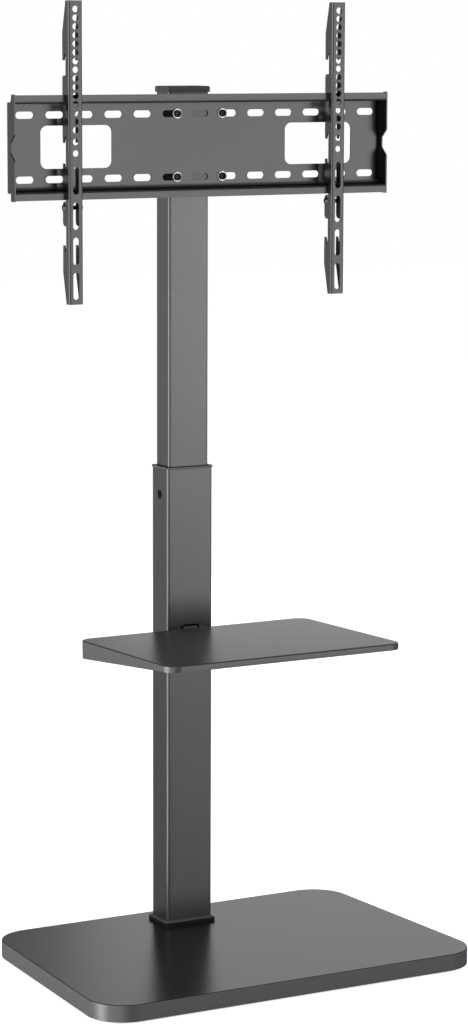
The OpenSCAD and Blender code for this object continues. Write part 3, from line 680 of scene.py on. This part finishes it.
bolt_l = size_mm("plate_bolts").y
stand_ins("plate_bolts", "socket_bolts", "Y",
          socket_bolt(head_r=5.25, head_h=3.3, shank_r=2.65, length=bolt_l, socket_r=2.31, socket_d=2.0),
          thread(radius=3.0, pitch=1.0, start=bolt_l - 8.0, end=bolt_l - 0.2))
stand_ins("plate_washers", "bright_washers", "Y", washer(outer_r=7.25, inner_r=3.1, thick=1.6))
stand_ins("plate_nuts", "hexagon_nuts", "Y", nut(flats=9.9, high=5.0, bore_r=3.06), twist=30)

# %% [markdown]
# ### Safety nuts, the lock screw, pads and foot bolts
#
# A safety screw must not shake loose, so its nut has a round collar with a plastic ring. The lock
# screw is a headless screw, flush in its insert, with a hexagon socket. The pads are moulded rubber
# with a rounded rim and a sunk middle, and the bolts under the board are deep socket screws.

# %% Model the small hardware
def collar_nut(flats, high, bore_r):
    half, corner, hexagon_h = flats / 2, corner_r(flats), high * 0.68
    hexagon = [(bore_r, 0.3), (bore_r + 0.4, 0), (half * 0.97, 0), (corner, 0.5), (corner, hexagon_h - 0.3),
               (half * 0.95, hexagon_h)]
    collar = [(half * 0.86, hexagon_h + 0.1), (half * 0.86, high - 0.7), (half * 0.8, high - 0.2),
              (half * 0.7, high), (bore_r + 0.2, high), (bore_r, high - 0.2)]
    return turned(hexagon + collar, hexed=(3, 4), closed=True)


def headless_screw(shank_r, length, socket_r, socket_d):
    floor_r, mouth_r, face_r, tip = 1.6, 2.6, 3.5, 0.4
    socket = [(0, socket_d + 0.2), (floor_r, socket_d), (socket_r, socket_d), (socket_r, 0.25), (mouth_r, 0)]
    shank = [(face_r, 0), (shank_r, 0.45), (shank_r, length - tip), (shank_r - tip, length), (0, length)]
    return turned(socket + shank, hexed=(2, 3))


def rubber_pad(radius, high):
    sunk, sunk_r, ring_r, rim = 0.9, 4.2, 5.4, 1.0
    middle = [(0, sunk), (sunk_r, sunk), (sunk_r + 0.7, sunk - 0.3), (ring_r, 0)]
    edge = [(radius - rim, 0), (radius - 0.3, 0.3), (radius, rim), (radius, high), (0, high)]
    return turned(middle + edge)


for side in ("left", "right"):
    stand_ins(side + "_safety_nut", side + "_collar_nut", "X",
              collar_nut(flats=10.0, high=5.0, bore_r=3.06), twist=30)
stand_ins("lock_screw", "headless_screw", "X",
          headless_screw(shank_r=4.0, length=size_mm("lock_screw").x, socket_r=2.31, socket_d=1.9))
pad = size_mm("base_pads")
stand_ins("base_pads", "rubber_pads", "Z", rubber_pad(radius=pad.x / 2, high=pad.z))
foot_bolt = socket_bolt(head_r=6.5, head_h=8.0, shank_r=4.0, length=size_mm("base_bolts").z,
                        socket_r=3.46, socket_d=4.0)
stand_ins("base_bolts", "foot_bolts", "Z", foot_bolt)
stand_ins("base_washers", "foot_washers", "Z", washer(outer_r=8.0, inner_r=4.1, thick=1.6))

# %% [markdown]
# ### Weld beads
#
# The head bracket is welded to the upper tube along both of its turned-in edges. A weld is a row of
# frozen ripples, so a quarter-round strip is extruded a third of a ripple at a time, and each ring is
# swelled or shrunk a little.

# %% Run the welds
SWELLS = (1.12, 0.94, 1.0)
BEAD_R_MM, RIPPLE_MM, SUNK_MM, SHORT_MM = 2.6, 2.4, 0.4, 3


def bead(radius, length, ripple):
    """A rippled fillet along Z in the corner between +X and +Y."""
    outline = [(0, 0), (radius, 0), (radius * 0.82, radius * 0.42), (radius * 0.42, radius * 0.82),
               (0, radius)]
    shape = bmesh.new()
    ring = [shape.faces.new([shape.verts.new((x * MM, y * MM, 0)) for x, y in outline])]
    steps = int(length / ripple * len(SWELLS))
    for step in range(steps):
        made = bmesh.ops.extrude_face_region(shape, geom=ring)["geom"]
        verts = [item for item in made if isinstance(item, bmesh.types.BMVert)]
        if step:
            bmesh.ops.delete(shape, geom=ring, context="FACES")
        ring = [item for item in made if isinstance(item, bmesh.types.BMFace)]
        turn = step % len(SWELLS)
        swell = SWELLS[turn] / SWELLS[turn - 1]
        bmesh.ops.translate(shape, verts=verts, vec=(0, 0, length / steps * MM))
        bmesh.ops.scale(shape, verts=verts, vec=(swell, swell, 1))
    bmesh.ops.recalc_face_normals(shape, faces=shape.faces)
    return shape


bracket_low, bracket_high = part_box("head_bracket")
tube_low, tube_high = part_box("upper_column")
weld_l = (bracket_high.z - bracket_low.z) / MM - 2 * SHORT_MM
quarter_turn = Matrix.Rotation(math.radians(90), 4, "Z")
for side, x, turn in (("left", tube_low.x + SUNK_MM * MM, quarter_turn),
                      ("right", tube_high.x - SUNK_MM * MM, Matrix())):
    weld = mesh_of(bead(BEAD_R_MM, weld_l, RIPPLE_MM), side + "_weld")
    weld.transform(Matrix.Translation((x, bracket_high.y, bracket_low.z + SHORT_MM * MM)) @ turn)
    weld.update()
    finished_piece(side + "_weld", weld, "head_bracket", replaced=False)
print("Welds run:", round(weld_l), "mm each")

# %% [markdown]
# ## Floor
#
# The floor and the surroundings are plain and pale. They could be made white by more light, but then
# the stand would wash out. Instead the floor glows a little for camera rays only, and still darkens
# where the stand shades it. Gloss doesn't see it, so that the room can decide what the paint mirrors.

# %% Lay the floor
FLOOR_HALF_M, FLOOR_PAINT, FLOOR_GLOW = 12, 0.8, 0.7


def pale_floor():
    shape = bmesh.new()
    bmesh.ops.create_grid(shape, x_segments=1, y_segments=1, size=FLOOR_HALF_M)
    floor = bpy.data.objects.new("floor", mesh_of(shape, "floor"))
    bpy.context.scene.collection.objects.link(floor)
    finish = Finish("pale_floor")
    glow = finish.mixed(finish.node("LightPath", output="Is Camera Ray"), grey(0), grey(FLOOR_GLOW))
    floor.data.materials.append(finish.set(
        Base_Color=grey(FLOOR_PAINT), Roughness=0.9, Specular_IOR_Level=0.0, Emission_Color=glow,
        Emission_Strength=1.0))
    floor.visible_glossy = False


pale_floor()
print("Floor laid,", 2 * FLOOR_HALF_M, "m wide")

# %% [markdown]
# ## What the paint mirrors
#
# Dark paint with metal flakes shows what stands round it more than its own colour. The camera sees
# white behind the stand, but gloss sees a room: a bright band at eye level under a dim ceiling. Two
# broad screens stand to the right in front and to the left behind. Each is bright in a strip just
# under the horizon and dark above and below, so that a tall face is lighter at its top than at its
# foot. Under the horizon, bright and dark strips all round draw the lines along the bends, and
# the wall behind on the right is dimmer. A picture of a room could do this, but a few named heights
# and directions are easier to change.

# %% Choose the screens, strips and walls
# Each height is the Z of a direction: from, to, and the brightness at each of them.
CEILING = (0.34, 0.54, 1.0, 0.3)
SCREEN_FOOT, SCREEN_TOP = (-0.26, -0.1, 0.35, 1.0), (-0.02, 0.15, 1.0, 0.15)
FRONT_LOSS_AT_FOOT = (-0.165, -0.1, 0.92, 0.0)
UNDER_HORIZON = (0.05, 0.15, 1.0, 0.0)
# Each direction is in degrees from the front round to the left, with the inner and outer edge of
# its reach, and the brightness outside and inside of it.
FRONT_SCREEN, BACK_SCREEN = (-29, 35, 55, 0.0, 1.0), (151, 35, 60, 0.0, 1.0)
BACK_WALL = (209, 30, 50, 1.0, 0.4)
STRIPS = (
    (-31, 12, 30, 1.0, 2.8),
    (12, 10, 30, 1.0, 0.05),
    (97, 14, 30, 1.0, 3.5),
    (151, 20, 40, 1.0, 0.58),
    (-95, 25, 45, 1.0, 0.1),
)
print("Strips chosen:", len(STRIPS))

# %% [markdown]
# ## A world for three kinds of ray
#
# The world is a tree like that of a finish, and its brightness depends on the ray that asks. A camera
# ray gets white, a glossy ray gets the room, and every other ray gets one plain level, so that the
# board and the plastics are lit evenly from all sides.

# %% Surround the stand
PLAIN_LIGHT = 0.4


class Sky(Nodes):
    """The surroundings being made."""

    def __init__(self, world):
        super().__init__(world.node_tree)
        self.way = self.node("TexCoord", output="Generated")
        self.height = self.along("Z", self.way)

    def toward(self, degrees, inner, outer, outside, within):
        angle, reach = math.radians(degrees), [math.cos(math.radians(v)) for v in (outer, inner)]
        direction = (-math.sin(angle), -math.cos(angle), 0.0)
        return self.ramp(self.dot(self.way, direction), *reach, outside, within)

    def room(self):
        """The brightness that gloss sees in each direction."""
        light = self.ramp(self.height, *CEILING)
        front, back = self.toward(*FRONT_SCREEN), self.toward(*BACK_SCREEN)
        screen = self.ramp(self.height, *SCREEN_FOOT) * self.ramp(self.height, *SCREEN_TOP)
        light = light * (1.0 - (front + back) * (1.0 - screen))
        light = light * (1.0 - front * self.ramp(self.height, *FRONT_LOSS_AT_FOOT))
        low = self.ramp(self.height, *UNDER_HORIZON)
        for strip in STRIPS:
            light = light * (1.0 - low * (1.0 - self.toward(*strip)))
        return light * self.toward(*BACK_WALL)

    def either(self, share, first, second):
        """The number share of the way from first to second."""
        return self.node("Mix", {"data_type": "FLOAT"}, {0: share, 2: first, 3: second}, 0)


world = bpy.data.worlds.new("studio")
world.use_nodes = True
bpy.context.scene.world = world
sky, background = Sky(world), world.node_tree.nodes["Background"]
seen, glossy = (sky.node("LightPath", output=name) for name in ("Is Camera Ray", "Is Glossy Ray"))
background.inputs["Color"].default_value = (1, 1, 1, 1)
plug(world.node_tree, background.inputs["Strength"],
     sky.either(seen, sky.either(glossy, PLAIN_LIGHT, sky.room()), 1.0))
print("World built of", len(world.node_tree.nodes), "nodes")

# %% [markdown]
# ## Lamps
#
# One broad panel lights the stand from the front right and one fills from the left. Both are out of
# sight for gloss, so they shape the plastics and the board without a glare on the paint. A weak third
# panel stands low behind on the right, and its mirror image is the pale sheen on the board.

# %% Place the lamps
def panel(name, place, aim, size, watts, mirrored=False):
    lamp = bpy.data.lights.new(name, "AREA")
    lamp.shape, lamp.size, lamp.energy = "SQUARE", size, watts
    thing = bpy.data.objects.new(name, lamp)
    thing.location = place
    thing.rotation_mode = "QUATERNION"
    thing.rotation_quaternion = (Vector(aim) - Vector(place)).to_track_quat("-Z", "Y")
    thing.visible_camera, thing.visible_glossy = False, mirrored
    bpy.context.scene.collection.objects.link(thing)


panel("key", place=(1.4, -2.6, 2.8), aim=(0, 0, 1.0), size=1.6, watts=90)
panel("fill", place=(-3.8, 0.2, 1.5), aim=(0, 0, 0.6), size=2.0, watts=130)
panel("rim", place=(2.06, 2.47, 0.75), aim=(0, 0, 0.4), size=2.0, watts=7.8, mirrored=True)
bpy.context.scene.view_settings.view_transform = "Standard"
print("Lamps placed")
